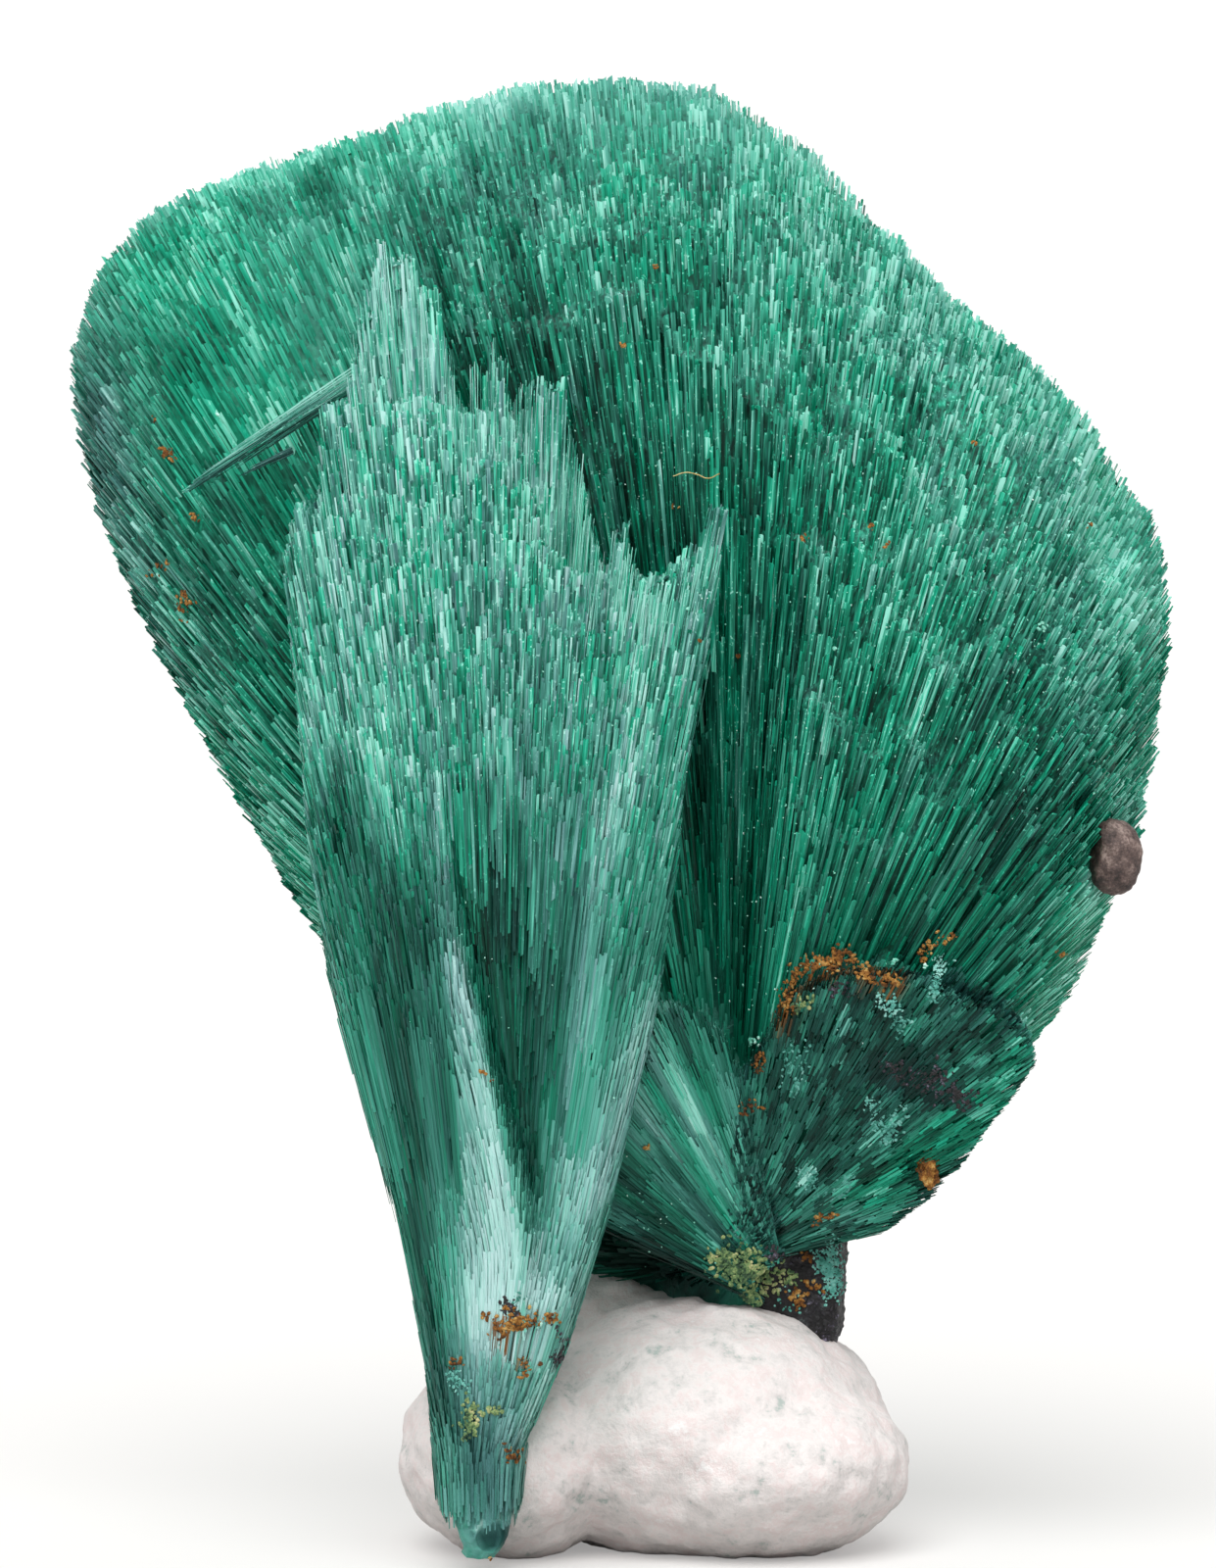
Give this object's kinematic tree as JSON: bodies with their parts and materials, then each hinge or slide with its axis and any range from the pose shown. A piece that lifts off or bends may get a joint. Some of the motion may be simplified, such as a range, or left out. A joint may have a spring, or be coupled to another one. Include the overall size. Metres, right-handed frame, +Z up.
{
  "type": "malachite specimen",
  "caption": "Fibrous malachite crystal group: a broad radiating fan with a narrower pale sheaf in front, standing in a lump of pale mounting putty.",
  "frame": {"origin": "under the middle of the specimen, on the surface it stands on", "axes": "+Z up, the way the fibres grow; -Y towards the viewer of the picture, who sees the pale sheaf in front; +X to that viewer's right"},
  "size_m": [0.0227, 0.0118, 0.03],
  "materials": {
    "malachite": "silky fibrous, deep emerald green, paler at the needle ends",
    "pale_malachite": "silky fibrous, pale grey green",
    "matrix": "rough, near black, with rust spots",
    "iron_nodule": "smooth worn brown",
    "limonite": "earthy ochre",
    "putty": "matt, kneaded, pale grey white"
  },
  "bodies": {
    "root": {"back_fan": "malachite", "front_sheaf": "pale_malachite", "matrix_rock": "matrix", "iron_nodule": "iron_nodule", "ochre_lump": "limonite", "putty_base": "putty"}
  },
  "joints": []
}
